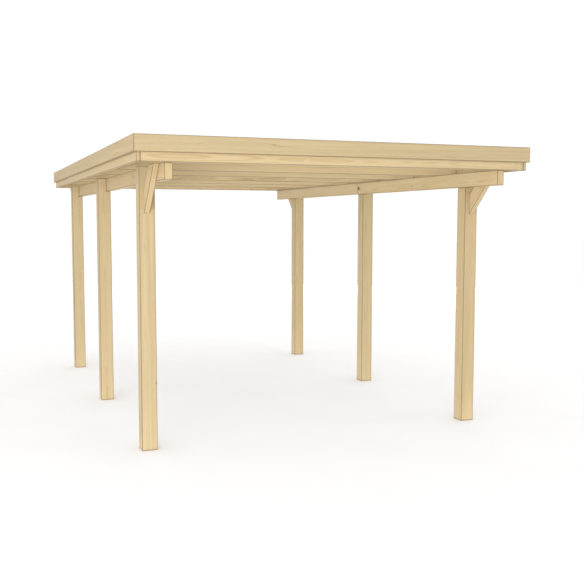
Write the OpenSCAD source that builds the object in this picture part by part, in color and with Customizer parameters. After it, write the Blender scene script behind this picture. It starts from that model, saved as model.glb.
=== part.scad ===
// Flat-roofed single carport in planed timber. Six posts stand in two rows, and each row carries
// a spliced beam in notches at the posts' heads. Knee braces stiffen the beams' overhangs,
// rafters lie across the beams between two side boards, and a fascia frames the roof sheets.
// The origin is at the middle of the roof's outline, on the ground. The front faces -Y, so left
// is -X and right is +X.

/* [Roof outline] */
// Width over the fascia boards
roof_w = 3220; // [2600:10:4200]
// Length over the fascia boards
roof_l = 5120; // [4200:10:6600]
// Height of the beams' underside above the ground
headroom = 2035; // [1700:5:2700]

/* [Posts] */
// Side of the square posts
post_w = 120; // [100:5:160]
// Distance in from the roof's sides to the posts' outer faces
post_side_inset = 140; // [100:5:300]
// Distance in from the roof's ends to the end posts' outer faces
post_end_inset = 530; // [450:10:900]
// Depth of the notch at a post's head, where the beam sits
notch_depth = 40; // [20:5:80]

/* [Beams] */
// Thickness of the side beams
beam_t = 60; // [45:5:90]
// Height of the side beams
beam_h = 120; // [100:5:200]
// Distance in from the roof's ends to the beams' ends
beam_end_inset = 40; // [30:5:80]
// Distance from the middle of the roof back to the joint between two beam lengths
splice_shift = 40; // [-50:5:50]

/* [Braces] */
// Thickness of the knee braces
brace_t = 45; // [25:5:60]
// Width of the board that the knee braces are cut from
brace_w = 120; // [80:5:150]
// Distance from the beams' top down to the braces' lower tips
brace_drop = 350; // [280:10:400]

/* [Rafters and side boards] */
// Thickness of the rafters
rafter_t = 45; // [30:5:80]
// Height of the rafters and side boards
rafter_h = 120; // [90:5:160]
// Number of rafters, the two end ones included
rafter_n = 7; // [5:1:11]
// Distance in from the roof's ends to the middle of the first inner rafters
rafter_end_inset = 1030; // [600:10:1300]
// Thickness of the side boards that close the rafters' ends
side_board_t = 28; // [18:2:44]

/* [Fascia] */
// Thickness of the fascia boards
fascia_t = 22; // [16:1:32]
// Height of the fascia boards
fascia_h = 120; // [100:5:180]
// Height of the fascia's lower edge above the rafters' underside
fascia_step = 65; // [30:5:80]

/* [Roof sheets] */
// Number of ribbed sheets side by side
sheet_n = 3; // [2:1:5]
// Upright thickness of the sheets
sheet_t = 1.5; // [1:0.1:3]
// Distance between ribs that the sheets come nearest to
rib_pitch_target = 70; // [50:1:100]
// Height of the ribs
rib_h = 18; // [10:1:30]
// Width of a rib's flat top
rib_top = 24; // [10:1:30]
// Sideways run of a rib's sloping flank
rib_flank = 10; // [5:1:12]
// Gap between the sheets and the fascia all round
sheet_gap = 5; // [2:1:15]
// Clearance between the two ribs that lie over each other at a lap
lap_gap = 0.3; // [0.2:0.1:1]

/* [Hidden] */

// Signs of the two sides and of the three posts in a row.
LEFT = -1;
RIGHT = 1;
FRONT = -1;
MIDDLE = 0;
BACK = 1;

// Colours of the planed timber, by the way its faces catch the light, and of the clear sheets.
POST_COLOUR = [0.84, 0.75, 0.58];
BEAM_COLOUR = [0.82, 0.73, 0.56];
RAFTER_COLOUR = [0.80, 0.71, 0.54];
FASCIA_COLOUR = [0.83, 0.74, 0.57];
SHEET_COLOUR = [0.86, 0.90, 0.92, 0.45];

// Heights above the ground.
beam_top = headroom + beam_h;
rafter_top = beam_top + rafter_h;
fascia_foot = beam_top + fascia_step;

// Distances from the middle of the roof, along X to the side and along Y to the front or back.
post_outer_x = roof_w / 2 - post_side_inset;
beam_outer_x = post_outer_x - post_w + notch_depth;
post_row_y = roof_l / 2 - post_end_inset - post_w / 2;
beam_end_y = roof_l / 2 - beam_end_inset;
frame_x = roof_w / 2 - fascia_t;
frame_y = roof_l / 2 - fascia_t;
rafter_x = frame_x - side_board_t;
end_rafter_y = frame_y - rafter_t / 2;
inner_rafter_y = roof_l / 2 - rafter_end_inset;

// A board sawn at 45 degrees shows this length of cut along a post or beam.
brace_cut = brace_w * sqrt(2);

// The ribs divide the width between the fascia boards evenly. Neighbouring sheets share one.
cover_w = 2 * (frame_x - sheet_gap);
rib_foot = rib_top + 2 * rib_flank;
ribs_per_sheet = round((cover_w - rib_foot) / (sheet_n * rib_pitch_target));
rib_pitch = (cover_w - rib_foot) / (sheet_n * ribs_per_sheet);

// Turns the children to the right or left side.
module on_side(side) {
  if (side == LEFT) mirror([1, 0, 0]) children();
  else children();
}

// Turns the children to the back or front end.
module on_end(end) {
  if (end == FRONT) mirror([0, 1, 0]) children();
  else children();
}

// Extrudes an outline drawn in X and Z along Y, centred.
module along_y(length) {
  rotate([90, 0, 0]) linear_extrude(length, center = true) children();
}

// Extrudes an outline drawn in Y and Z along X.
module along_x(length) {
  rotate([90, 0, 90]) linear_extrude(length) children();
}

// Post with a notch on its inner side: the beam rests on the shoulder, against the tongue. row
// is FRONT, MIDDLE or BACK.
module post(row, side) {
  color(POST_COLOUR) on_side(side) translate([0, row * post_row_y, 0]) along_y(post_w)
    polygon([
      [post_outer_x - post_w, 0], [post_outer_x, 0], [post_outer_x, beam_top],
      [beam_outer_x, beam_top], [beam_outer_x, headroom], [post_outer_x - post_w, headroom]
    ]);
}

// One of the two lengths of a side beam, which butt over the middle post.
module beam(end, side) {
  length = beam_end_y - end * splice_shift;
  color(BEAM_COLOUR) on_side(side) on_end(end)
    translate([beam_outer_x - beam_t, end * splice_shift, headroom])
      cube([beam_t, length, beam_h]);
}

// Knee brace at 45 degrees, from an end post's outer face up along the beam's outer face.
module brace(end, side) {
  color(BEAM_COLOUR) on_side(side) on_end(end)
    translate([beam_outer_x, post_row_y + post_w / 2, beam_top]) along_x(brace_t)
      polygon([
        [0, -brace_drop], [brace_drop, 0], [brace_drop - brace_cut, 0],
        [0, brace_cut - brace_drop]
      ]);
}

// Rafter number i counted from the front. The first and last close the roof's ends.
module rafter(i) {
  inner_step = 2 * inner_rafter_y / (rafter_n - 3);
  y = i == 1 ? -end_rafter_y
    : i == rafter_n ? end_rafter_y
    : (i - 2) * inner_step - inner_rafter_y;
  color(RAFTER_COLOUR) translate([-rafter_x, y - rafter_t / 2, beam_top])
    cube([2 * rafter_x, rafter_t, rafter_h]);
}

// Board along a side of the roof that closes the rafters' ends.
module side_board(side) {
  color(RAFTER_COLOUR) on_side(side) translate([rafter_x, -frame_y, beam_top])
    cube([side_board_t, 2 * frame_y, rafter_h]);
}

// Outline of a fascia board on plan, with a mitre at each end. The board's outer face is at
// distance out from the roof's middle, and half_l is half of its length.
module mitred_outline(out, half_l) {
  polygon([
    [-half_l, out], [half_l, out], [half_l - fascia_t, out - fascia_t],
    [fascia_t - half_l, out - fascia_t]
  ]);
}

module fascia_end(end) {
  color(FASCIA_COLOUR) on_end(end) translate([0, 0, fascia_foot])
    linear_extrude(fascia_h) mitred_outline(roof_l / 2, roof_w / 2);
}

module fascia_side(side) {
  color(FASCIA_COLOUR) on_side(side) translate([0, 0, fascia_foot])
    linear_extrude(fascia_h) rotate(-90) mitred_outline(roof_w / 2, roof_l / 2);
}

// Underside of one rib whose foot starts at x. A lifted rib lies over a neighbour's rib, so it is
// higher by lift, and its last flank runs further, down to the rafters again.
function rib_line(x, lift) = [
  [x, lift], [x + rib_flank, rib_h + lift], [x + rib_flank + rib_top, rib_h + lift],
  [x + rib_foot + lift * rib_flank / rib_h, 0]
];

// Ribbed sheet number i counted from the left, laid on the rafters. Its first rib covers the
// last rib of the sheet before it.
module roof_sheet(i) {
  left = -cover_w / 2 + (i - 1) * ribs_per_sheet * rib_pitch;
  lap_lift = sheet_t + lap_gap;
  underside = [
    for (rib = [0:ribs_per_sheet])
      for (p = rib_line(left + rib * rib_pitch, i > 1 && rib == 0 ? lap_lift : 0)) p
  ];
  topside = [for (k = [len(underside) - 1:-1:0]) underside[k] + [0, sheet_t]];
  color(SHEET_COLOUR) translate([0, 0, rafter_top]) along_y(2 * (frame_y - sheet_gap))
    polygon(concat(underside, topside));
}

post(FRONT, LEFT);  // post_front_left
post(MIDDLE, LEFT);  // post_middle_left
post(BACK, LEFT);  // post_back_left
post(FRONT, RIGHT);  // post_front_right
post(MIDDLE, RIGHT);  // post_middle_right
post(BACK, RIGHT);  // post_back_right
beam(FRONT, LEFT);  // beam_front_left
beam(BACK, LEFT);  // beam_back_left
beam(FRONT, RIGHT);  // beam_front_right
beam(BACK, RIGHT);  // beam_back_right
brace(FRONT, LEFT);  // brace_front_left
brace(BACK, LEFT);  // brace_back_left
brace(FRONT, RIGHT);  // brace_front_right
brace(BACK, RIGHT);  // brace_back_right
side_board(LEFT);  // side_board_left
side_board(RIGHT);  // side_board_right
for (i = [1:rafter_n]) rafter(i);
fascia_end(FRONT);  // fascia_front
fascia_end(BACK);  // fascia_back
fascia_side(LEFT);  // fascia_left
fascia_side(RIGHT);  // fascia_right
for (i = [1:sheet_n]) roof_sheet(i);
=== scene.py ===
"""Looks of a flat-roofed timber carport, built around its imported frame.

Every timber is an eased slab: a plane outline with rounded corners, carried through the timber's
thickness while it draws in at both faces. The roof sheets are a ribbed line carried along the
roof, and the screws are small turned heads set out in rows. Sizes and places come from the
frame's own nodes. The front faces -Y, so left is -X and right is +X.
"""

import math
from itertools import product

import bmesh
import bpy
import numpy as np
from bpy.props import FloatProperty, FloatVectorProperty, IntProperty, PointerProperty
from bpy.types import Operator, Panel, PropertyGroup
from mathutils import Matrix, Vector


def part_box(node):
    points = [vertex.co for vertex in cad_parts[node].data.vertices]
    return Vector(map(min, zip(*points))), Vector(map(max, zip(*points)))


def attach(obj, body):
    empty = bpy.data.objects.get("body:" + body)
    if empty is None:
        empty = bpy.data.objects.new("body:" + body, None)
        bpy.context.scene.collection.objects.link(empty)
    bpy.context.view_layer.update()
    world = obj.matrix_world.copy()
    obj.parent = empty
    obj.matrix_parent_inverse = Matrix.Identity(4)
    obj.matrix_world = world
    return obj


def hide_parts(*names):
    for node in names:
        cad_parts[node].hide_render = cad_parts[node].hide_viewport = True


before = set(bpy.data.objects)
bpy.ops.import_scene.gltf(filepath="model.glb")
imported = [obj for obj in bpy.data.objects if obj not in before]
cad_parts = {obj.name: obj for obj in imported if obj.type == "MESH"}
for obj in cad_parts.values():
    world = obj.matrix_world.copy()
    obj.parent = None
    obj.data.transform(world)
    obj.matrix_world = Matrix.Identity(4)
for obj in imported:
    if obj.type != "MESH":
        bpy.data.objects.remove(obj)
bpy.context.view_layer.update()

bl_info = {
    "name": "Timber carport looks",
    "version": (1, 0, 0),
    "blender": (4, 5, 0),
    "location": "View3D > Sidebar > Carport",
    "description": "Planed timbers, roof sheets, screws and stage of a flat-roofed carport",
    "category": "Object",
}

BODY = "root"
SIDES = {"left": -1, "right": 1}
ENDS = {"front": -1, "back": 1}
ROWS = ("front", "middle", "back")
RAFTERS = sorted(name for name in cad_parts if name.startswith("rafter_"))
SHEETS = sorted(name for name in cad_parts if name.startswith("roof_sheet_"))
X, Y, Z = range(3)

# Axes of a slab: the two of its outline first, then the one through its thickness.
ON_PLAN = (X, Y, Z)
ON_SIDE = (Y, Z, X)
ON_FRONT = (Z, X, Y)

# By a timber's first word: its record slot, the number of its first log, and the furthest that
# the log's heart lies from the timber's middle.
TIMBERS = {
    "post": ("post_wood", 100, 0.03),
    "beam": ("beam_wood", 200, 0.05),
    "brace": ("beam_wood", 300, 0.06),
    "rafter": ("rafter_wood", 400, 0.07),
    "side": ("rafter_wood", 450, 0.10),
    "fascia": ("fascia_wood", 500, 0.10),
}
# The heart is at least this share of that distance away.
NEAREST_HEART = 0.6
# Boards are cut anywhere along this length of pattern.
TRUNK_LENGTH = 30
# A face is a sawn end where the cosine of its normal's angle to the grain is above this.
CROSS_CUT = 0.6
# Points of the frame that lie this near to a plane are on it.
ON_PLANE = 1e-4
# Points of a new piece that lie this near to each other are one.
SAME_PLACE = 1e-5

# Fixed colours of the wood: resin's warm tint, splits and the painted shade along the edges, a
# knot's rim, sawn ends.
RESIN = (0.60, 0.42, 0.20, 1.0)
SPLITS_AND_EDGE_SHADE = (0.14, 0.09, 0.045, 1.0)
KNOT_RIM = (0.10, 0.055, 0.025, 1.0)
SAWN_END = (0.27, 0.19, 0.10, 1.0)
# Dust on the sheets, and the sealing plastic fresh and bloomed.
DUST = (0.55, 0.52, 0.45, 1.0)
PLASTIC = (0.46, 0.47, 0.47, 1.0)
BLOOM = (0.33, 0.33, 0.32, 1.0)

# Fascia screws: distance from the boards' ends, spacing, and heights of the lower and upper ones
# as shares of the strip that laps the frame.
FASCIA_MARGIN = 0.09
FASCIA_SPACING = 0.42
FASCIA_STAGGER = (0.32, 0.68)
# Each post's screws: height as a share of the beam's, and distance to the back of its middle.
POST_SCREWS = ((0.28, -0.02), (0.72, 0.02))
# Each brace's screws: distances in from its far tip and down from its top.
BRACE_SCREWS = ((0.105, 0.040), (0.120, 0.085))
# Only every third rib is screwed down. Ribs' tops are within this of the highest.
SCREWED_RIBS = 3
RIB_TOP_DEPTH = 0.003

# Roof sheets: a bend's curve reaches this share of the run beside it, or the distance if less.
BEND_SHARE = 0.3
BEND_REACH = 0.0025
SHEET_ROWS = 13

# Panel lights: size, place and direction. Each one's power is the setting of the same name.
PANELS = {
    "front_panel": ((11.0, 1.6), (-8.0, -12.0, 1.0), (8.0, 12.0, 1.0)),
    "back_panel": ((11.0, 1.6), (8.0, 12.0, 1.0), (-8.0, -12.0, 1.0)),
    "floor_panel": ((3.2, 5.1), (0.0, 0.0, 0.01), (0.0, 0.0, 1.0)),
}
LAMP_PLACE = (-4.0, -9.0, 4.5)
LAMP_SPREAD = math.radians(25)
SENSOR_WIDTH = 36.0
VIEW_RANGE = (0.05, 500.0)
FLOOR_RINGS = 12
FLOOR_FACETS = 64


# ---------------------------------------------------------------- settings


def tone_of(timbers, usual):
    """A setting for how light some timbers are, beside the wood colours."""
    return FloatProperty(
        name=f"Tone of {timbers}",
        description=f"How light the {timbers} are, as a share of the wood colours",
        default=usual,
        min=0.3,
        max=1.5,
        subtype="FACTOR",
    )


class TimberSettings(PropertyGroup):
    """Shape and colour of the planed timbers."""

    arris: FloatProperty(
        name="Arris",
        description="Radius that the timbers' edges are eased to",
        default=0.003,
        min=0.001,
        max=0.008,
        unit="LENGTH",
    )
    arris_steps: IntProperty(
        name="Arris steps",
        description="Facets round each eased edge",
        default=3,
        min=1,
        max=8,
    )
    edge_band: FloatProperty(
        name="Edge band",
        description="How far the darker tone of the edges reaches in",
        default=0.006,
        min=0.001,
        max=0.007,
        unit="LENGTH",
    )
    ring_gap: FloatProperty(
        name="Ring gap",
        description="Thickness of one year's growth",
        default=0.0045,
        min=0.001,
        max=0.01,
        unit="LENGTH",
    )
    knot_cell: FloatProperty(
        name="Knot spacing",
        description="Mean distance between knots inside the wood",
        default=0.25,
        min=0.1,
        max=1.0,
        unit="LENGTH",
    )
    early_wood: FloatVectorProperty(
        name="Early wood",
        description="Colour of the pale spring growth",
        default=(0.500, 0.397, 0.230),
        subtype="COLOR",
        min=0.0,
        max=1.0,
    )
    late_wood: FloatVectorProperty(
        name="Late wood",
        description="Colour of the darker summer growth",
        default=(0.360, 0.262, 0.130),
        subtype="COLOR",
        min=0.0,
        max=1.0,
    )
    knot_wood: FloatVectorProperty(
        name="Knots",
        description="Colour of the knots",
        default=(0.26, 0.15, 0.065),
        subtype="COLOR",
        min=0.0,
        max=1.0,
    )
    # Lightness by timber kind paints light and shade in: the beams, braces and rafters that sit in
    # the roof's shade are made lighter, and the front-lit fascia darker.
    post_wood: tone_of("posts", 0.97)
    beam_wood: tone_of("beams and knee braces", 1.12)
    rafter_wood: tone_of("rafters and side boards", 1.07)
    fascia_wood: tone_of("fascia boards", 0.92)


class SheetSettings(PropertyGroup):
    """Shape and colour of the ribbed roof sheets."""

    lift: FloatProperty(
        name="Lift",
        description="Gap between the rafters and the sheets",
        default=0.0006,
        min=0.0001,
        max=0.003,
        unit="LENGTH",
    )
    thickness: FloatProperty(
        name="Thickness",
        description="Upright thickness of a sheet",
        default=0.0014,
        min=0.0008,
        max=0.003,
        unit="LENGTH",
    )
    clear_tint: FloatVectorProperty(
        name="Tint",
        description="Colour of the clear plastic",
        default=(0.50, 0.55, 0.58),
        subtype="COLOR",
        min=0.0,
        max=1.0,
    )
    haze: FloatProperty(
        name="Haze",
        description="Share of the light that each face of a sheet keeps back",
        default=0.20,
        min=0.0,
        max=1.0,
        subtype="FACTOR",
    )


class ScrewSettings(PropertyGroup):
    """Sizes of the screws and bolts."""

    board_head: FloatProperty(
        name="Board screws",
        description="Head diameter of the screws in the fascia and side boards",
        default=0.010,
        min=0.006,
        max=0.02,
        unit="LENGTH",
    )
    frame_head: FloatProperty(
        name="Frame screws",
        description="Head diameter of the screws in the posts and braces",
        default=0.014,
        min=0.008,
        max=0.03,
        unit="LENGTH",
    )
    sheet_cap: FloatProperty(
        name="Sheet caps",
        description="Diameter of the sealing caps on the roof sheets",
        default=0.022,
        min=0.01,
        max=0.04,
        unit="LENGTH",
    )
    bolt_washer: FloatProperty(
        name="Bolt washers",
        description="Diameter of the washers at the beams' joints",
        default=0.036,
        min=0.02,
        max=0.06,
        unit="LENGTH",
    )
    yellow_zinc: FloatVectorProperty(
        name="Yellow zinc",
        description="Colour of the screws' plating",
        default=(0.52, 0.42, 0.26),
        subtype="COLOR",
        min=0.0,
        max=1.0,
    )
    grey_zinc: FloatVectorProperty(
        name="Grey zinc",
        description="Colour of the bolts' plating",
        default=(0.28, 0.27, 0.25),
        subtype="COLOR",
        min=0.0,
        max=1.0,
    )


class StageSettings(PropertyGroup):
    """Camera, light and floor."""

    camera_place: FloatVectorProperty(
        name="Camera",
        description="Where the camera stands",
        default=(-2.730, -8.316, 1.752),
        subtype="XYZ",
        unit="LENGTH",
    )
    heading: FloatProperty(
        name="Heading",
        description="How far the camera turns from straight ahead to the right",
        default=math.radians(20.45),
        subtype="ANGLE",
    )
    tilt: FloatProperty(
        name="Tilt",
        description="How far the camera looks down",
        default=math.radians(4.82),
        subtype="ANGLE",
    )
    lens: FloatProperty(
        name="Lens",
        description="Focal length on a 36 mm wide sensor",
        default=52.23,
        min=10.0,
        max=200.0,
        unit="CAMERA",
    )
    shift: FloatProperty(
        name="Shift",
        description="Sideways shift of the lens, as a share of the picture",
        default=0.0279,
        min=-0.2,
        max=0.2,
    )
    floor_reach: FloatProperty(
        name="Floor",
        description="Radius of the floor",
        default=70.0,
        min=15.0,
        max=200.0,
        unit="LENGTH",
    )
    floor_tint: FloatVectorProperty(
        name="Floor colour",
        description="Colour of the plain floor",
        default=(0.94, 0.94, 0.94),
        subtype="COLOR",
        min=0.0,
        max=1.0,
    )
    sky: FloatProperty(
        name="Sky",
        description="Strength of the even white light all round",
        default=1.05,
        min=0.0,
        max=5.0,
    )
    sun: FloatProperty(
        name="Lamp",
        description="Strength of the soft main lamp",
        default=0.2,
        min=0.0,
        max=10.0,
    )
    front_panel: FloatProperty(
        name="Front panel",
        description="Power of the broad panel low down in front",
        default=1000.0,
        min=0.0,
        max=5000.0,
        unit="POWER",
    )
    back_panel: FloatProperty(
        name="Back panel",
        description="Power of the broad panel low down behind",
        default=350.0,
        min=0.0,
        max=5000.0,
        unit="POWER",
    )
    floor_panel: FloatProperty(
        name="Floor panel",
        description="Power of the panel on the floor that lights the roof from below",
        default=30.0,
        min=0.0,
        max=1000.0,
        unit="POWER",
    )


# ---------------------------------------------------------------- shader maths


class Wire:
    """A shader socket that reads as a number: arithmetic on it adds Math nodes."""

    def __init__(self, tree, socket=None):
        self.tree = tree
        self.socket = socket

    def node(self, kind, settings=None, sockets=None, output=0):
        """Adds a node of any kind: its settings first, then its sockets' values or wires."""
        made = self.tree.nodes.new("ShaderNode" + kind)
        for name, value in (settings or {}).items():
            setattr(made, name, value)
        for name, value in (sockets or {}).items():
            if isinstance(value, Wire):
                self.tree.links.new(value.socket, made.inputs[name])
            else:
                made.inputs[name].default_value = value
        return Wire(self.tree, made.outputs[output] if made.outputs else None)

    def math(self, operation, *values):
        """One Math node on up to three numbers or wires."""
        return self.node("Math", {"operation": operation}, dict(enumerate(values)))

    def __add__(self, other):
        return self.math("ADD", self, other)

    def __radd__(self, other):
        return self.math("ADD", other, self)

    def __sub__(self, other):
        return self.math("SUBTRACT", self, other)

    def __rsub__(self, other):
        return self.math("SUBTRACT", other, self)

    def __mul__(self, other):
        return self.math("MULTIPLY", self, other)

    def __rmul__(self, other):
        return self.math("MULTIPLY", other, self)

    def __truediv__(self, other):
        return self.math("DIVIDE", self, other)

    def __rtruediv__(self, other):
        return self.math("DIVIDE", other, self)

    def root(self):
        """Its square root."""
        return self.math("SQRT", self)

    def sine(self):
        """Its sine, in radians."""
        return self.math("SINE", self)

    def fraction(self):
        """What is left of it above a whole number."""
        return self.math("FRACT", self)

    def __abs__(self):
        return self.math("ABSOLUTE", self)

    def ramp(self, low, high, start=0.0, end=1.0):
        """Rises smoothly from start to end while this goes from low to high."""
        settings = {"interpolation_type": "SMOOTHSTEP"}
        sockets = {0: self, 1: low, 2: high, 3: start, 4: end}
        return self.node("MapRange", settings, sockets)

    def blend(self, first, second):
        """A colour between two, with this as the share of the second."""
        settings = {"data_type": "RGBA", "clamp_factor": True}
        return self.node("Mix", settings, {0: self, 6: first, 7: second}, output=2)

    def noise(self, place, scale, detail=2.0, rough=0.5):
        """Smooth noise from 0 to 1 at a place, where this wire only lends its tree."""
        sockets = {"Vector": place, "Scale": scale, "Detail": detail, "Roughness": rough}
        return self.node("TexNoise", {"noise_dimensions": "3D"}, sockets)

    def vector(self, x, y, z):
        """A vector from three numbers."""
        return self.node("CombineXYZ", {}, {"X": x, "Y": y, "Z": z})

    def parts(self):
        """The three numbers of this vector."""
        return [self.node("SeparateXYZ", {}, {0: self}, output=i) for i in range(3)]


def new_material(name):
    """An empty material, and a wire that lends its tree."""
    material = bpy.data.materials.new(name)
    material.use_nodes = True
    material.node_tree.nodes.clear()
    return material, Wire(material.node_tree)


def close_material(material, paper, sockets, bump=None):
    """Ends a material in a Principled shader, with an optional bump of (height, distance)."""
    if bump is not None:
        height, distance = bump
        lift = {"Height": height, "Distance": distance, "Strength": 1.0}
        sockets = {**sockets, "Normal": paper.node("Bump", {}, lift)}
    shader = paper.node("BsdfPrincipled", {}, sockets)
    paper.node("OutputMaterial", {}, {"Surface": shader})
    return material


def rgba(colour):
    """A colour property as four plain numbers."""
    return (*colour, 1.0)


def planed_timber(name, settings, lightness):
    """Planed softwood. The grain attribute holds each point's place in its own log: along the
    trunk, and then across it from the heart, so the rings are cylinders round the heart that
    show as stripes and arches on the faces and as arcs on the sawn ends."""
    material, paper = new_material(name)
    early = rgba(np.multiply(settings.early_wood, lightness))
    late_tone = rgba(np.multiply(settings.late_wood, lightness))
    grain = paper.node("Attribute", {"attribute_name": "grain"}, output="Vector")
    board = paper.node("Attribute", {"attribute_name": "board"}, output="Fac")
    sawn = paper.node("Attribute", {"attribute_name": "sawn_end"}, output="Fac")
    edge = paper.node("Attribute", {"attribute_name": "edge"}, output="Fac")
    along, across, through = grain.parts()

    # Knots are balls scattered through the log, and the rings part round them.
    cell = settings.knot_cell
    spot = paper.vector(along / cell + board * 17, across / cell, through / cell)
    near = paper.node("TexVoronoi", {"feature": "F1"}, {"Vector": spot, "Scale": 1.0})
    knot_reach = near * cell
    parted = knot_reach.ramp(0.004, 0.05, 0.011, 0.0)

    # Rings, with the trunk's taper and a slow wander along it.
    wander_at = paper.vector(along * 0.9 + board * 5, across * 4, through * 4)
    wander = (paper.noise(wander_at, 1.0, 2.0) - 0.5) * 0.03
    heart_reach = (across * across + through * through).root()
    radius = heart_reach + wander + parted + along * 0.006
    season = (radius / settings.ring_gap).fraction()
    late = season.ramp(0.35, 0.85) * season.ramp(0.9, 1.0, 1.0, 0.0)

    # Runs of lean and rich years, long streaks, and a tone for each board.
    run_at = paper.vector(radius * 55, along * 0.35 + board * 3, board * 11)
    rich = paper.noise(run_at, 1.0, 2.0).ramp(0.32, 0.70)
    streak_at = paper.vector(along * 1.4, across * 60 + board * 9, through * 60)
    streak = paper.noise(streak_at, 1.0, 3.0, 0.6).ramp(0.30, 0.72)
    tone = ((board * 12.9898).sine() * 43758.5453).fraction()

    share = late * (rich * 0.32 + 0.24) + rich * 0.20 + streak * 0.20 + (tone - 0.5) * 0.12
    wood = share.blend(early, late_tone)
    fleck = paper.noise(paper.vector(along * 25, across * 900, through * 900), 1.0, 2.0)
    wood = (fleck.ramp(0.35, 0.75) * 0.22).blend(wood, late_tone)
    wood = (tone * 0.18).blend(wood, RESIN)

    # Drying checks: a few hair-thin dark lines along the grain.
    check_at = paper.vector(along * 0.8 + board * 7, across * 26, through * 26)
    crest = abs(paper.noise(check_at, 1.0, 1.0) - 0.5)
    where_at = paper.vector(along * 1.1 + board * 4, across * 6, through * 6)
    where = paper.noise(where_at, 1.0, 0.0).ramp(0.66, 0.74)
    check = crest.ramp(0.004, 0.012, 1.0, 0.0) * where
    wood = (check * 0.35).blend(wood, SPLITS_AND_EDGE_SHADE)

    # Sound knots: a brown ball with a dark rim.
    knot = knot_reach.ramp(0.009, 0.014, 1.0, 0.0)
    rim = knot_reach.ramp(0.006, 0.010) * knot
    wood = (knot * 0.50).blend(wood, rgba(settings.knot_wood))
    wood = (rim * 0.30).blend(wood, KNOT_RIM)

    # Sawn ends soak up dirt and look darker. The edges get painted shade: a dark line along every
    # arris that sets each timber off from the wood behind it.
    wood = (sawn * 0.18).blend(wood, SAWN_END)
    wood = (edge * edge * (fleck * 0.3 + 0.52)).blend(wood, SPLITS_AND_EDGE_SHADE)

    rough = 0.62 - late * 0.10 + fleck * 0.08 + sawn * 0.12
    height = late * 0.5 + fleck * 0.35 - check * 3 - knot * 0.3
    return close_material(
        material,
        paper,
        {"Base Color": wood, "Roughness": rough, "Specular IOR Level": 0.35},
        (height, 0.00035),
    )


def clear_sheet(name, settings):
    """Clear ribbed plastic with a fine haze and dust that gathers in streaks."""
    material, paper = new_material(name)
    place = paper.node("TexCoord", output="Object")
    x, y, z = place.parts()
    dust = paper.noise(paper.vector(x * 9, y * 1.2, z * 9), 1.0, 4.0, 0.6).ramp(0.40, 0.75)
    speck = paper.noise(place, 160.0, 2.0).ramp(0.55, 0.75)
    tint = (dust * 0.30 + speck * 0.12).blend(rgba(settings.clear_tint), DUST)
    alpha = dust * 0.12 + speck * 0.04 + settings.haze
    rough = dust * 0.30 + 0.12
    sockets = {"Base Color": tint, "Alpha": alpha, "Roughness": rough, "IOR": 1.53}
    return close_material(material, paper, sockets)


def plated_steel(name, tint):
    """Zinc-plated steel with faint darker blotches."""
    material, paper = new_material(name)
    place = paper.node("TexCoord", output="Object")
    blotch = paper.noise(place, 120.0, 3.0).ramp(0.35, 0.70)
    colour = (blotch * 0.45).blend(rgba(tint), rgba(np.multiply(tint, 0.65)))
    rough = blotch * 0.22 + 0.30
    sockets = {"Base Color": colour, "Roughness": rough, "Metallic": 1.0}
    return close_material(material, paper, sockets, (blotch, 0.00005))


def sealing_plastic(name):
    """Grey plastic of the sealing washers."""
    material, paper = new_material(name)
    place = paper.node("TexCoord", output="Object")
    bloom = paper.noise(place, 90.0, 3.0).ramp(0.35, 0.70)
    colour = (bloom * 0.5).blend(PLASTIC, BLOOM)
    return close_material(material, paper, {"Base Color": colour, "Roughness": bloom * 0.2 + 0.4})


def stage_floor(name, tint):
    """Plain matt floor with a barely visible mottle."""
    material, paper = new_material(name)
    place = paper.node("TexCoord", output="Object")
    mottle = paper.noise(place, 1.5, 3.0).ramp(0.35, 0.70)
    darker = [channel * 0.985 for channel in tint]
    colour = mottle.blend(rgba(tint), rgba(darker))
    return close_material(material, paper, {"Base Color": colour, "Roughness": 0.9})


# ---------------------------------------------------------------- surfaces


def cyclic_quads(rings, points):
    """Faces between successive rings of equally many points, closed round each ring."""
    row, point = np.meshgrid(np.arange(rings - 1), np.arange(points), indexing="ij")
    here = row * points + point
    beside = row * points + (point + 1) % points
    return np.stack([here, beside, beside + points, here + points], axis=-1).reshape(-1, 4)


def new_piece(name, vertices, faces, material):
    """A mesh object at the origin, linked to the scene, with its place in its vertices."""
    mesh = bpy.data.meshes.new(name)
    mesh.from_pydata(np.asarray(vertices).reshape(-1, 3).tolist(), [], faces)
    mesh.materials.append(material)
    mesh.update()
    piece = bpy.data.objects.new(name, mesh)
    bpy.context.scene.collection.objects.link(piece)
    return piece


def settle(piece, nodes=()):
    """Makes a piece ride on the carport and in place of its CAD nodes."""
    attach(piece, BODY)
    if nodes:
        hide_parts(*nodes)


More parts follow.
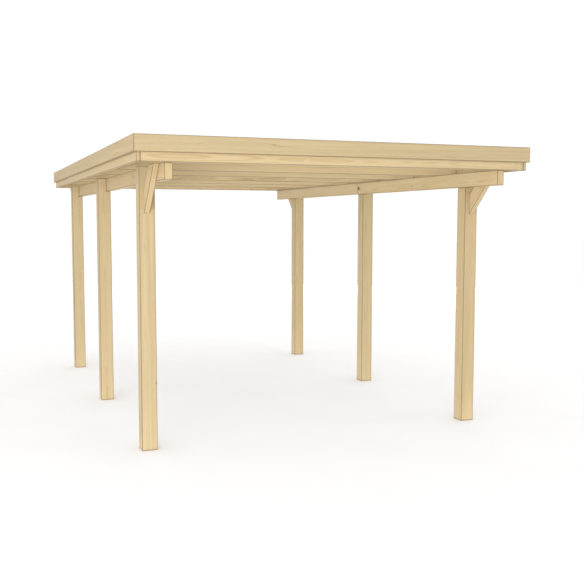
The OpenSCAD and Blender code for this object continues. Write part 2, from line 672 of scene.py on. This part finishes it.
def rounded_outline(outline, radius, steps, band):
    """Returns a function of inset that gives the rounded outline drawn in by that much, and how
    close each of its points is to a corner, from 0 to 1.

    An outward corner is an arc whose centre lies r inside both its edges. At inset d its radius
    is r - d. r is the given radius, or less on an acute corner, whose arc starts as far from its
    tip as a square one's: radius / tan (half its turn). An inward corner stays sharp and moves
    along the line between its edges' offsets. Each corner has one more point on both its edges,
    a band's width away."""
    ahead = np.roll(outline, -1, axis=0) - outline
    ahead /= np.linalg.norm(ahead, axis=1, keepdims=True)
    behind = np.roll(ahead, 1, axis=0)
    inward_ahead = np.stack([-ahead[:, 1], ahead[:, 0]], axis=1)
    inward_behind = np.stack([-behind[:, 1], behind[:, 0]], axis=1)
    shared = 1 + (inward_ahead * inward_behind).sum(axis=1, keepdims=True)
    mitre = (inward_ahead + inward_behind) / shared
    turn = behind[:, 0] * ahead[:, 1] - behind[:, 1] * ahead[:, 0]
    sweep = np.arctan2(turn, (behind * ahead).sum(axis=1))
    start = np.arctan2(-inward_behind[:, 1], -inward_behind[:, 0])
    share = np.concatenate([[0], np.linspace(0, 1, steps + 1), [1]])
    angle = start[:, None] + sweep[:, None] * share
    spoke = np.stack([np.cos(angle), np.sin(angle)], axis=-1)
    acute = 1 / np.tan(np.abs(sweep) / 2)
    rounding = np.where(turn > 0, radius * np.minimum(acute, 1), 0.0)[:, None, None]
    sideways = np.zeros((len(outline), len(share), 2))
    sideways[:, 0], sideways[:, -1] = -behind, ahead
    closeness = np.ones((len(outline), len(share)))
    closeness[:, [0, -1]] = 0

    def at(inset):
        middle = outline[:, None] + mitre[:, None] * np.maximum(rounding, inset)
        arc = middle + spoke * np.maximum(rounding - inset, 0)
        return (arc + sideways * (band - max(inset - radius, 0))).reshape(-1, 2)

    return at, closeness.ravel()


def eased_slab(name, outline, low, high, axes, material, settings):
    """A timber with eased edges. Its rounded outline is carried from low to high along the third
    of axes. Near both faces it draws in by r (1 - sin a) at a depth of r (1 - cos a), for a from
    0 degrees at the face to 90, so every edge has the same quarter round. The edge attribute
    falls from 1 on the rounding to 0 a band's width away; the wood's shader paints shade along
    the edges by it."""
    outline = np.asarray(outline, float)
    following = np.roll(outline, -1, axis=0)
    clockwise = (outline[:, 0] * following[:, 1] - outline[:, 1] * following[:, 0]).sum() < 0
    if clockwise:
        outline = outline[::-1]
    radius, steps, band = settings.arris, settings.arris_steps, settings.edge_band
    at, closeness = rounded_outline(outline, radius, steps, band)
    angle = np.linspace(0, math.pi / 2, steps + 1)
    depths = np.concatenate([[0], radius * (1 - np.cos(angle)), [radius + band]])
    insets = np.concatenate([[radius + band], radius * (1 - np.sin(angle)), [0]])
    heights = np.concatenate([low + depths, high - depths[::-1]])
    insets = np.concatenate([insets, insets[::-1]])
    rings, points = len(heights), len(closeness)
    flat = np.stack([at(inset) for inset in insets])
    vertices = np.empty((rings, points, 3))
    vertices[..., axes[0]] = flat[..., 0]
    vertices[..., axes[1]] = flat[..., 1]
    vertices[..., axes[2]] = heights[:, None]
    ends = np.arange(points)
    faces = cyclic_quads(rings, points).tolist()
    faces += [ends[::-1].tolist(), (ends + points * (rings - 1)).tolist()]
    piece = new_piece(name, vertices, faces, material)
    on_ring = np.ones(steps + 3)
    on_ring[[0, -1]] = 0
    on_ring = np.concatenate([on_ring, on_ring[::-1]])
    edge = np.maximum(on_ring[:, None], closeness).astype(np.float32)
    edge[[0, -1]] = 0
    mark = piece.data.attributes.new("edge", "FLOAT", "POINT")
    mark.data.foreach_set("value", edge.ravel())
    weld(piece)
    return piece


def weld(piece):
    """Joins the points that meet where an arc has shrunk to nothing."""
    work = bmesh.new()
    work.from_mesh(piece.data)
    bmesh.ops.remove_doubles(work, verts=work.verts, dist=SAME_PLACE)
    work.to_mesh(piece.data)
    work.free()


def lay_grain(piece, log, along, heart):
    """Writes where each point lies in its log: along the trunk, and across it from the heart.
    log is the log's number, along the grain's direction, and heart how far the log's heart may
    lie from the timber's middle. Faces that cut across the grain are marked as sawn ends."""
    chance = np.random.default_rng(log)
    mesh = piece.data
    place = np.empty(len(mesh.vertices) * 3)
    mesh.vertices.foreach_get("co", place)
    place = place.reshape(-1, 3)
    middle = (place.min(axis=0) + place.max(axis=0)) / 2
    trunk = np.asarray(along, float) / np.linalg.norm(along)
    helper = np.eye(3)[np.argmin(np.abs(trunk))]
    side = np.cross(trunk, helper)
    side /= np.linalg.norm(side)
    log_axes = np.stack([trunk, side, np.cross(trunk, side)], axis=1)
    turn = chance.uniform(0, 2 * math.pi)
    reach = heart * chance.uniform(NEAREST_HEART, 1.0)
    start = chance.uniform(0, TRUNK_LENGTH)
    offset = np.array([start, reach * math.cos(turn), reach * math.sin(turn)])
    grain = (place - middle) @ log_axes + offset
    mark = mesh.attributes.new("grain", "FLOAT_VECTOR", "POINT")
    mark.data.foreach_set("vector", grain.astype(np.float32).ravel())
    tone = np.full(len(mesh.polygons), chance.uniform(0, 1), np.float32)
    mesh.attributes.new("board", "FLOAT", "FACE").data.foreach_set("value", tone)
    normals = np.empty(len(mesh.polygons) * 3)
    mesh.polygons.foreach_get("normal", normals)
    cut = (np.abs(normals.reshape(-1, 3) @ trunk) > CROSS_CUT).astype(np.float32)
    mesh.attributes.new("sawn_end", "FLOAT", "FACE").data.foreach_set("value", cut)


def turned_part(profile, facets, lobes=0.0):
    """Points, side faces and end faces of a small turned part: a profile of (radius, height)
    pairs carried round the Z axis. lobes gives each pair's share of a six-lobed wave, which cuts
    the star-shaped recess of a screw: radius (1 + share cos 6a)."""
    radius, height = np.asarray(profile, float).T[:, :, None]
    angle = np.arange(facets) * 2 * math.pi / facets
    radius = radius * (1 + np.reshape(lobes, (-1, 1)) * np.cos(6 * angle))
    height = np.broadcast_to(height, radius.shape)
    grid = np.stack([radius * np.cos(angle), radius * np.sin(angle), height], axis=-1)
    foot = np.arange(facets)
    ends = np.stack([foot[::-1], foot + facets * (len(profile) - 1)])
    return grid.reshape(-1, 3), cyclic_quads(len(profile), facets), ends


def set_out(name, part, places, outward, material):
    """Copies one turned part to many places as one mesh, its Z axis turned to the outward
    direction of the face that it sits on."""
    points, sides, ends = part
    places, outward = np.asarray(places, float), np.asarray(outward, float)
    helper = np.roll(np.abs(outward), 1)
    right = np.cross(helper, outward)
    axes = np.stack([right, np.cross(outward, right), outward])
    copies = places[:, None] + points @ axes
    shift = len(points) * np.arange(len(places))[:, None, None]
    faces = (sides + shift).reshape(-1, sides.shape[1]).tolist()
    faces += (ends + shift).reshape(-1, ends.shape[1]).tolist()
    settle(new_piece(name, copies, faces, material))


# ---------------------------------------------------------------- helpers on the frame


def span(node, axis):
    """A CAD node's lowest and highest coordinate on one axis."""
    low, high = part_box(node)
    return low[axis], high[axis]


def face_of(node, axis, sign):
    """Where a CAD node's face lies on an axis: its highest one, or its lowest if sign is -1."""
    return span(node, axis)[sign > 0]


def middle_of(node, axis):
    """The middle of a CAD node on one axis."""
    return sum(span(node, axis)) / 2


def cad_corners(node):
    """The corner points of a CAD node, a row each."""
    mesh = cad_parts[node].data
    place = np.empty(len(mesh.vertices) * 3)
    mesh.vertices.foreach_get("co", place)
    return place.reshape(-1, 3)


def rectangle(first, second):
    """Outline of a rectangle from its two spans."""
    (left, right), (foot, top) = first, second
    return [(left, foot), (right, foot), (right, top), (left, top)]


def shared_material(maker, name, *values):
    """A material by name, made once."""
    return bpy.data.materials.get(name) or maker(name, *values)


def build_timber(context, node, count, outline, axes, along):
    """An eased timber in place of a CAD node, with the grain of a log of its own. count tells
    timbers of one kind apart."""
    slot, first_log, heart = TIMBERS[node.split("_")[0]]
    settings = context.scene.carport_timber
    # The kind's lightness paints light and shade into its copy of the wood material.
    lightness = getattr(settings, slot)
    material = shared_material(planed_timber, "planed_" + slot, settings, lightness)
    low, high = span(node, axes[2])
    piece = eased_slab("eased_" + node, outline, low, high, axes, material, settings)
    lay_grain(piece, first_log + count, along, heart)
    settle(piece, [node])


def straight_timber(context, node, count, axes, along):
    """A timber with square ends, as large as its CAD node."""
    outline = rectangle(span(node, axes[0]), span(node, axes[1]))
    build_timber(context, node, count, outline, axes, along)


# ---------------------------------------------------------------- operators


class CARPORT_OT_posts(Operator):
    """Builds the six posts, with the notch at each head that the beam sits in"""

    bl_idname = "carport.posts"
    bl_label = "Posts"

    def execute(self, context):
        for count, (side_name, row) in enumerate(product(SIDES, ROWS)):
            side, node = SIDES[side_name], f"post_{row}_{side_name}"
            inner, outer = face_of(node, X, -side), face_of(node, X, side)
            foot, top = span(node, Z)
            beam = "beam_front_" + side_name
            tongue, shoulder = face_of(beam, X, side), span(beam, Z)[0]
            outline = [
                (foot, inner),
                (foot, outer),
                (top, outer),
                (top, tongue),
                (shoulder, tongue),
                (shoulder, inner),
            ]
            build_timber(context, node, count, outline, ON_FRONT, (0, 0, 1))
        return {"FINISHED"}


class CARPORT_OT_beams(Operator):
    """Builds the side beams, two lengths to a side"""

    bl_idname = "carport.beams"
    bl_label = "Beams"

    def execute(self, context):
        for count, (side_name, end_name) in enumerate(product(SIDES, ENDS)):
            straight_timber(context, f"beam_{end_name}_{side_name}", count, ON_SIDE, (0, 1, 0))
        return {"FINISHED"}


class CARPORT_OT_braces(Operator):
    """Builds the knee braces, sawn at 45 degrees at both ends"""

    bl_idname = "carport.braces"
    bl_label = "Knee braces"

    def execute(self, context):
        for count, (side_name, end_name) in enumerate(product(SIDES, ENDS)):
            node, end = f"brace_{end_name}_{side_name}", ENDS[end_name]
            post, far = face_of(node, Y, -end), face_of(node, Y, end)
            foot, top = span(node, Z)
            corners = cad_corners(node)
            cut = np.ptp(corners[corners[:, Z] > top - ON_PLANE, Y])
            outline = [(post, foot), (far, top), (far - end * cut, top), (post, foot + cut)]
            build_timber(context, node, count, outline, ON_SIDE, (0, end, 1))
        return {"FINISHED"}


class CARPORT_OT_rafters(Operator):
    """Builds the rafters and the side boards that close their ends"""

    bl_idname = "carport.rafters"
    bl_label = "Rafters and side boards"

    def execute(self, context):
        for count, node in enumerate(RAFTERS):
            straight_timber(context, node, count, ON_FRONT, (1, 0, 0))
        for count, side_name in enumerate(SIDES):
            straight_timber(context, "side_board_" + side_name, count, ON_SIDE, (0, 1, 0))
        return {"FINISHED"}


class CARPORT_OT_fascia(Operator):
    """Builds the fascia boards with their mitred corners"""

    bl_idname = "carport.fascia"
    bl_label = "Fascia"

    def execute(self, context):
        for count, (name, sign) in enumerate((*ENDS.items(), *SIDES.items())):
            node = "fascia_" + name
            run = X if name in ENDS else Y
            start, stop = span(node, run)
            outer, inner = face_of(node, 1 - run, sign), face_of(node, 1 - run, -sign)
            depth = abs(outer - inner)
            outline = [(start, outer), (stop, outer), (stop - depth, inner), (start + depth, inner)]
            if run == Y:
                outline = [corner[::-1] for corner in outline]
            build_timber(context, node, count, outline, ON_PLAN, np.eye(3)[run])
        return {"FINISHED"}


class CARPORT_OT_roof_sheets(Operator):
    """Lays the ribbed clear sheets over the rafters, each lapping the one before it"""

    bl_idname = "carport.roof_sheets"
    bl_label = "Roof sheets"

    def execute(self, context):
        settings = context.scene.carport_sheets
        material = shared_material(clear_sheet, "clear_sheet", settings)
        for node in SHEETS:
            settle(ribbed_sheet(node, settings, material), [node])
        return {"FINISHED"}


def rib_line(node):
    """The corner points of a sheet's underside, left to right, read from its CAD section."""
    place = cad_corners(node)
    front = place[place[:, Y] < place[:, Y].min() + ON_PLANE]
    section = np.unique(np.round(front[:, [X, Z]], 6), axis=0)
    stations, index = np.unique(section[:, 0], return_inverse=True)
    foot = np.full(len(stations), np.inf)
    np.minimum.at(foot, index, section[:, 1])
    return stations, foot


def ribbed_sheet(node, settings, material):
    """A ribbed sheet: the CAD section's underside, with each bend eased by a short curve, is
    carried along the roof and given its thickness straight up."""
    stations, foot = rib_line(node)
    # Each bend becomes three points of the parabola that touches both its straights.
    reach = np.clip(np.gradient(stations) * BEND_SHARE, 0, BEND_REACH)
    x = np.concatenate([stations - reach, stations, stations + reach])
    z = np.interp(x, stations, foot)
    count = len(stations)
    z[count : 2 * count] = (z[:count] + z[count : 2 * count] * 2 + z[2 * count :]) / 4
    order = np.argsort(x)
    x = x[order]
    z = z[order] + settings.lift
    keep = np.append(True, np.diff(x) > SAME_PLACE)
    x, z = x[keep], z[keep]
    ring_x = np.concatenate([x, x[::-1]])
    ring_z = np.concatenate([z, z[::-1] + settings.thickness])
    rows = np.linspace(*span(node, Y), SHEET_ROWS)
    grid = np.empty((len(rows), len(ring_x), 3))
    grid[..., X] = ring_x
    grid[..., Y] = rows[:, None]
    grid[..., Z] = ring_z
    points = len(ring_x)
    quads = cyclic_quads(len(rows), points)[:, ::-1].tolist()
    half = points // 2
    lower = np.arange(half - 1)
    upper = points - 1 - lower
    strip = np.stack([lower, lower + 1, upper - 1, upper], axis=1)
    ends = [*strip.tolist(), *(strip[:, ::-1] + points * (len(rows) - 1)).tolist()]
    return new_piece("clear_" + node, grid, quads + ends, material)


class CARPORT_OT_screws(Operator):
    """Sets the screws in the boards, posts and braces, and the capped screws in the sheets"""

    bl_idname = "carport.screws"
    bl_label = "Screws"

    def execute(self, context):
        settings = context.scene.carport_screws
        steel = shared_material(plated_steel, "yellow_zinc", settings.yellow_zinc)
        plastic = shared_material(sealing_plastic, "sealing_plastic")
        small = countersunk(settings.board_head)
        large = countersunk(settings.frame_head)
        for name, side in SIDES.items():
            set_out(f"fascia_screws_{name}", small, *fascia_screws(name, side, Y), steel)
            set_out(f"rafter_screws_{name}", small, *side_board_screws(name, side), steel)
            set_out(f"post_screws_{name}", large, *post_screws(name, side), steel)
            set_out(f"brace_screws_{name}", large, *brace_screws(name, side), steel)
        for name, end in ENDS.items():
            set_out(f"fascia_screws_{name}", small, *fascia_screws(name, end, X), steel)
        places = sheet_screws(context.scene.carport_sheets)
        upward = (0, 0, 1)
        set_out("sheet_screws", capped_screw(settings.sheet_cap), places, upward, steel)
        set_out("sheet_washers", sealing_ring(settings.sheet_cap), places, upward, plastic)
        return {"FINISHED"}


def countersunk(diameter):
    """A flush screw head with a star-shaped recess."""
    r = diameter / 2
    profile = [
        (r * 0.90, -0.0010),
        (r, 0.0000),
        (r * 0.96, 0.0004),
        (r * 0.50, 0.0005),
        (r * 0.46, -0.0008),
    ]
    return turned_part(profile, 24, [0, 0, 0, 0.14, 0.14])


def capped_screw(diameter):
    """The six-lobed dome of a roofing screw, seated on its washer."""
    r = diameter / 2 * 0.5
    profile = [
        (r, 0.0018),
        (r, 0.0040),
        (r * 0.88, 0.0054),
        (r * 0.55, 0.0064),
        (r * 0.10, 0.0068),
    ]
    return turned_part(profile, 12)


def sealing_ring(diameter):
    """The domed washer that seals a roofing screw."""
    r = diameter / 2
    profile = [(r * 0.94, 0.0000), (r, 0.0005), (r * 0.92, 0.0014), (r * 0.45, 0.0022)]
    return turned_part(profile, 16)


def evenly(low, high, margin, spacing):
    """Places between two ends, kept a margin away from them, at about a spacing."""
    count = max(2, round((high - low - 2 * margin) / spacing) + 1)
    return np.linspace(low + margin, high - margin, count)


def fascia_screws(name, sign, run):
    """Staggered screws along a fascia board, in the strip that laps the frame behind it."""
    node = "fascia_" + name
    foot, frame_top = span(node, Z)[0], span("side_board_left", Z)[1]
    run_places = evenly(*span(node, run), FASCIA_MARGIN, FASCIA_SPACING)
    share = np.resize(FASCIA_STAGGER, len(run_places))
    places = np.zeros((len(run_places), 3))
    places[:, run] = run_places
    places[:, 1 - run] = face_of(node, 1 - run, sign)
    places[:, Z] = foot + (frame_top - foot) * share
    outward = np.zeros(3)
    outward[1 - run] = sign
    return places, outward


def side_board_screws(name, side):
    """One screw into each rafter's end, in the strip of side board that the fascia leaves."""
    node = "side_board_" + name
    height = (span(node, Z)[0] + span("fascia_" + name, Z)[0]) / 2
    places = [(face_of(node, X, side), middle_of(rafter, Y), height) for rafter in RAFTERS]
    return places, (side, 0, 0)


def post_screws(name, side):
    """Two screws through each post's tongue into the beam, one above the other."""
    foot, top = span(f"beam_front_{name}", Z)
    places = [
        (face_of(node, X, side), middle_of(node, Y) + across, foot + (top - foot) * up)
        for node in (f"post_{row}_{name}" for row in ROWS)
        for up, across in POST_SCREWS
    ]
    return places, (side, 0, 0)


def brace_screws(name, side):
    """Two screws through each brace's outer face into the beam behind it."""
    places = []
    for end_name, end in ENDS.items():
        node = f"brace_{end_name}_{name}"
        tip = face_of(node, Y, end)
        for inward, down in BRACE_SCREWS:
            places.append((face_of(node, X, side), tip - end * inward, span(node, Z)[1] - down))
    return places, (side, 0, 0)


def sheet_screws(settings):
    """Screws through some ribs at each rafter, on the ribs' tops. A lap's screw goes through the
    rib that lies on top."""
    tops = []
    for node in SHEETS:
        stations, foot = rib_line(node)
        crest = foot > foot.max() - RIB_TOP_DEPTH
        starts = np.flatnonzero(crest[:-1] & crest[1:])
        if node != SHEETS[-1]:
            starts = starts[:-1]
        middles = (stations[starts] + stations[starts + 1]) / 2
        tops.append(np.stack([middles, foot[starts]], axis=1))
    tops = np.concatenate(tops)[::SCREWED_RIBS]
    grid = np.empty((len(RAFTERS), len(tops), 3))
    grid[..., X] = tops[:, 0]
    grid[..., Y] = [[middle_of(rafter, Y)] for rafter in RAFTERS]
    grid[..., Z] = tops[:, 1] + settings.lift + settings.thickness
    return grid.reshape(-1, 3)


class CARPORT_OT_bolts(Operator):
    """Sets the bolt that ties the beams' joint to each middle post"""

    bl_idname = "carport.bolts"
    bl_label = "Joint bolts"

    def execute(self, context):
        settings = context.scene.carport_screws
        steel = shared_material(plated_steel, "grey_zinc", settings.grey_zinc)
        washer_r = settings.bolt_washer / 2
        nut_r = washer_r * 0.58
        washer = [(washer_r * 0.97, 0.0), (washer_r, 0.0004), (washer_r * 0.97, 0.0028)]
        nut = [(nut_r, 0.0028), (nut_r, 0.0105), (nut_r * 0.86, 0.0115), (0.004, 0.0115)]
        stub = [(0.0055, 0.0110), (0.0055, 0.0150), (0.0045, 0.0160)]
        for name, side in SIDES.items():
            beam, post = f"beam_front_{name}", f"post_middle_{name}"
            place = [(face_of(beam, X, -side), middle_of(post, Y), middle_of(beam, Z))]
            inward = (-side, 0, 0)
            set_out(f"joint_washer_{name}", turned_part(washer, 32), place, inward, steel)
            set_out(f"joint_nut_{name}", turned_part(nut, 6), place, inward, steel)
            set_out(f"joint_bolt_{name}", turned_part(stub, 16), place, inward, steel)
        return {"FINISHED"}


class CARPORT_OT_stage(Operator):
    """Lays the floor and sets the lights and the camera"""

    bl_idname = "carport.stage"
    bl_label = "Stage"

    def execute(self, context):
        settings = context.scene.carport_stage
        lay_floor(settings)
        set_lights(context, settings)
        set_camera(context, settings)
        return {"FINISHED"}


def lay_floor(settings):
    """A round floor: rings whose radius grows with the square of a share, closed in the middle."""
    radii = settings.floor_reach * np.linspace(0.02, 1.0, FLOOR_RINGS) ** 2
    angle = np.arange(FLOOR_FACETS) * 2 * math.pi / FLOOR_FACETS
    grid = np.zeros((len(radii), len(angle), 3))
    grid[..., X] = radii[:, None] * np.cos(angle)
    grid[..., Y] = radii[:, None] * np.sin(angle)
    faces = cyclic_quads(len(radii), len(angle))[:, ::-1].tolist()
    faces.append(np.arange(len(angle)).tolist())
    material = shared_material(stage_floor, "stage_floor", settings.floor_tint)
    floor = new_piece("stage_floor", grid, faces, material)


def set_lights(context, settings):
    """Even white light from all round, a soft lamp above the front, broad panels low down at two
    corners and a weak one on the floor, which the camera doesn't see."""
    world = bpy.data.worlds.new("white_surround")
    world.use_nodes = True
    background = world.node_tree.nodes["Background"]
    background.inputs["Color"].default_value = (1.0, 1.0, 1.0, 1.0)
    background.inputs["Strength"].default_value = settings.sky
    context.scene.world = world
    lamp = bpy.data.lights.new("soft_lamp", "SUN")
    lamp.energy = settings.sun
    lamp.angle = LAMP_SPREAD
    stand(context, "soft_lamp", lamp, LAMP_PLACE, -Vector(LAMP_PLACE))
    for name, (size, place, looking) in PANELS.items():
        panel = bpy.data.lights.new(name, "AREA")
        panel.shape = "RECTANGLE"
        panel.size, panel.size_y = size
        panel.energy = getattr(settings, name)
        stand(context, name, panel, place, looking).visible_camera = False
    context.scene.view_settings.view_transform = "Standard"


def stand(context, name, data, place, looking):
    """Puts a light or camera at a place, looking along a direction."""
    holder = bpy.data.objects.new(name, data)
    holder.location = place
    holder.rotation_mode = "QUATERNION"
    holder.rotation_quaternion = Vector(looking).to_track_quat("-Z", "Y")
    context.scene.collection.objects.link(holder)
    return holder


def set_camera(context, settings):
    """The camera at the standing viewer's place."""
    camera = bpy.data.cameras.new("viewer")
    camera.lens = settings.lens
    camera.sensor_width = SENSOR_WIDTH
    camera.shift_x = settings.shift
    camera.clip_start, camera.clip_end = VIEW_RANGE
    level = math.cos(settings.tilt)
    right, ahead = math.sin(settings.heading) * level, math.cos(settings.heading) * level
    looking = (right, ahead, -math.sin(settings.tilt))
    context.scene.camera = stand(context, "viewer", camera, settings.camera_place, looking)


# ---------------------------------------------------------------- add-on


SETTINGS = {
    "carport_timber": TimberSettings,
    "carport_sheets": SheetSettings,
    "carport_screws": ScrewSettings,
    "carport_stage": StageSettings,
}
BUILDERS = (
    CARPORT_OT_posts,
    CARPORT_OT_beams,
    CARPORT_OT_braces,
    CARPORT_OT_rafters,
    CARPORT_OT_fascia,
    CARPORT_OT_roof_sheets,
    CARPORT_OT_screws,
    CARPORT_OT_bolts,
    CARPORT_OT_stage,
)


class VIEW3D_PT_carport(Panel):
    """Buttons that build the carport, and its settings"""

    bl_label = "Carport"
    bl_idname = "VIEW3D_PT_carport"
    bl_space_type = "VIEW_3D"
    bl_region_type = "UI"
    bl_category = "Carport"

    def draw(self, context):
        for builder in BUILDERS:
            self.layout.operator(builder.bl_idname)
        for group in SETTINGS:
            box = self.layout.box()
            values = getattr(context.scene, group)
            for name in values.__annotations__:
                box.prop(values, name)


CLASSES = (*SETTINGS.values(), *BUILDERS, VIEW3D_PT_carport)


def register():
    for cls in CLASSES:
        bpy.utils.register_class(cls)
    for name, cls in SETTINGS.items():
        setattr(bpy.types.Scene, name, PointerProperty(type=cls))


def unregister():
    for name in SETTINGS:
        delattr(bpy.types.Scene, name)
    for cls in reversed(CLASSES):
        bpy.utils.unregister_class(cls)


def main():
    """Registers the classes and runs every operator."""
    register()
    bpy.ops.carport.posts()
    bpy.ops.carport.beams()
    bpy.ops.carport.braces()
    bpy.ops.carport.rafters()
    bpy.ops.carport.fascia()
    bpy.ops.carport.roof_sheets()
    bpy.ops.carport.screws()
    bpy.ops.carport.bolts()
    bpy.ops.carport.stage()


if __name__ == "__main__":
    main()
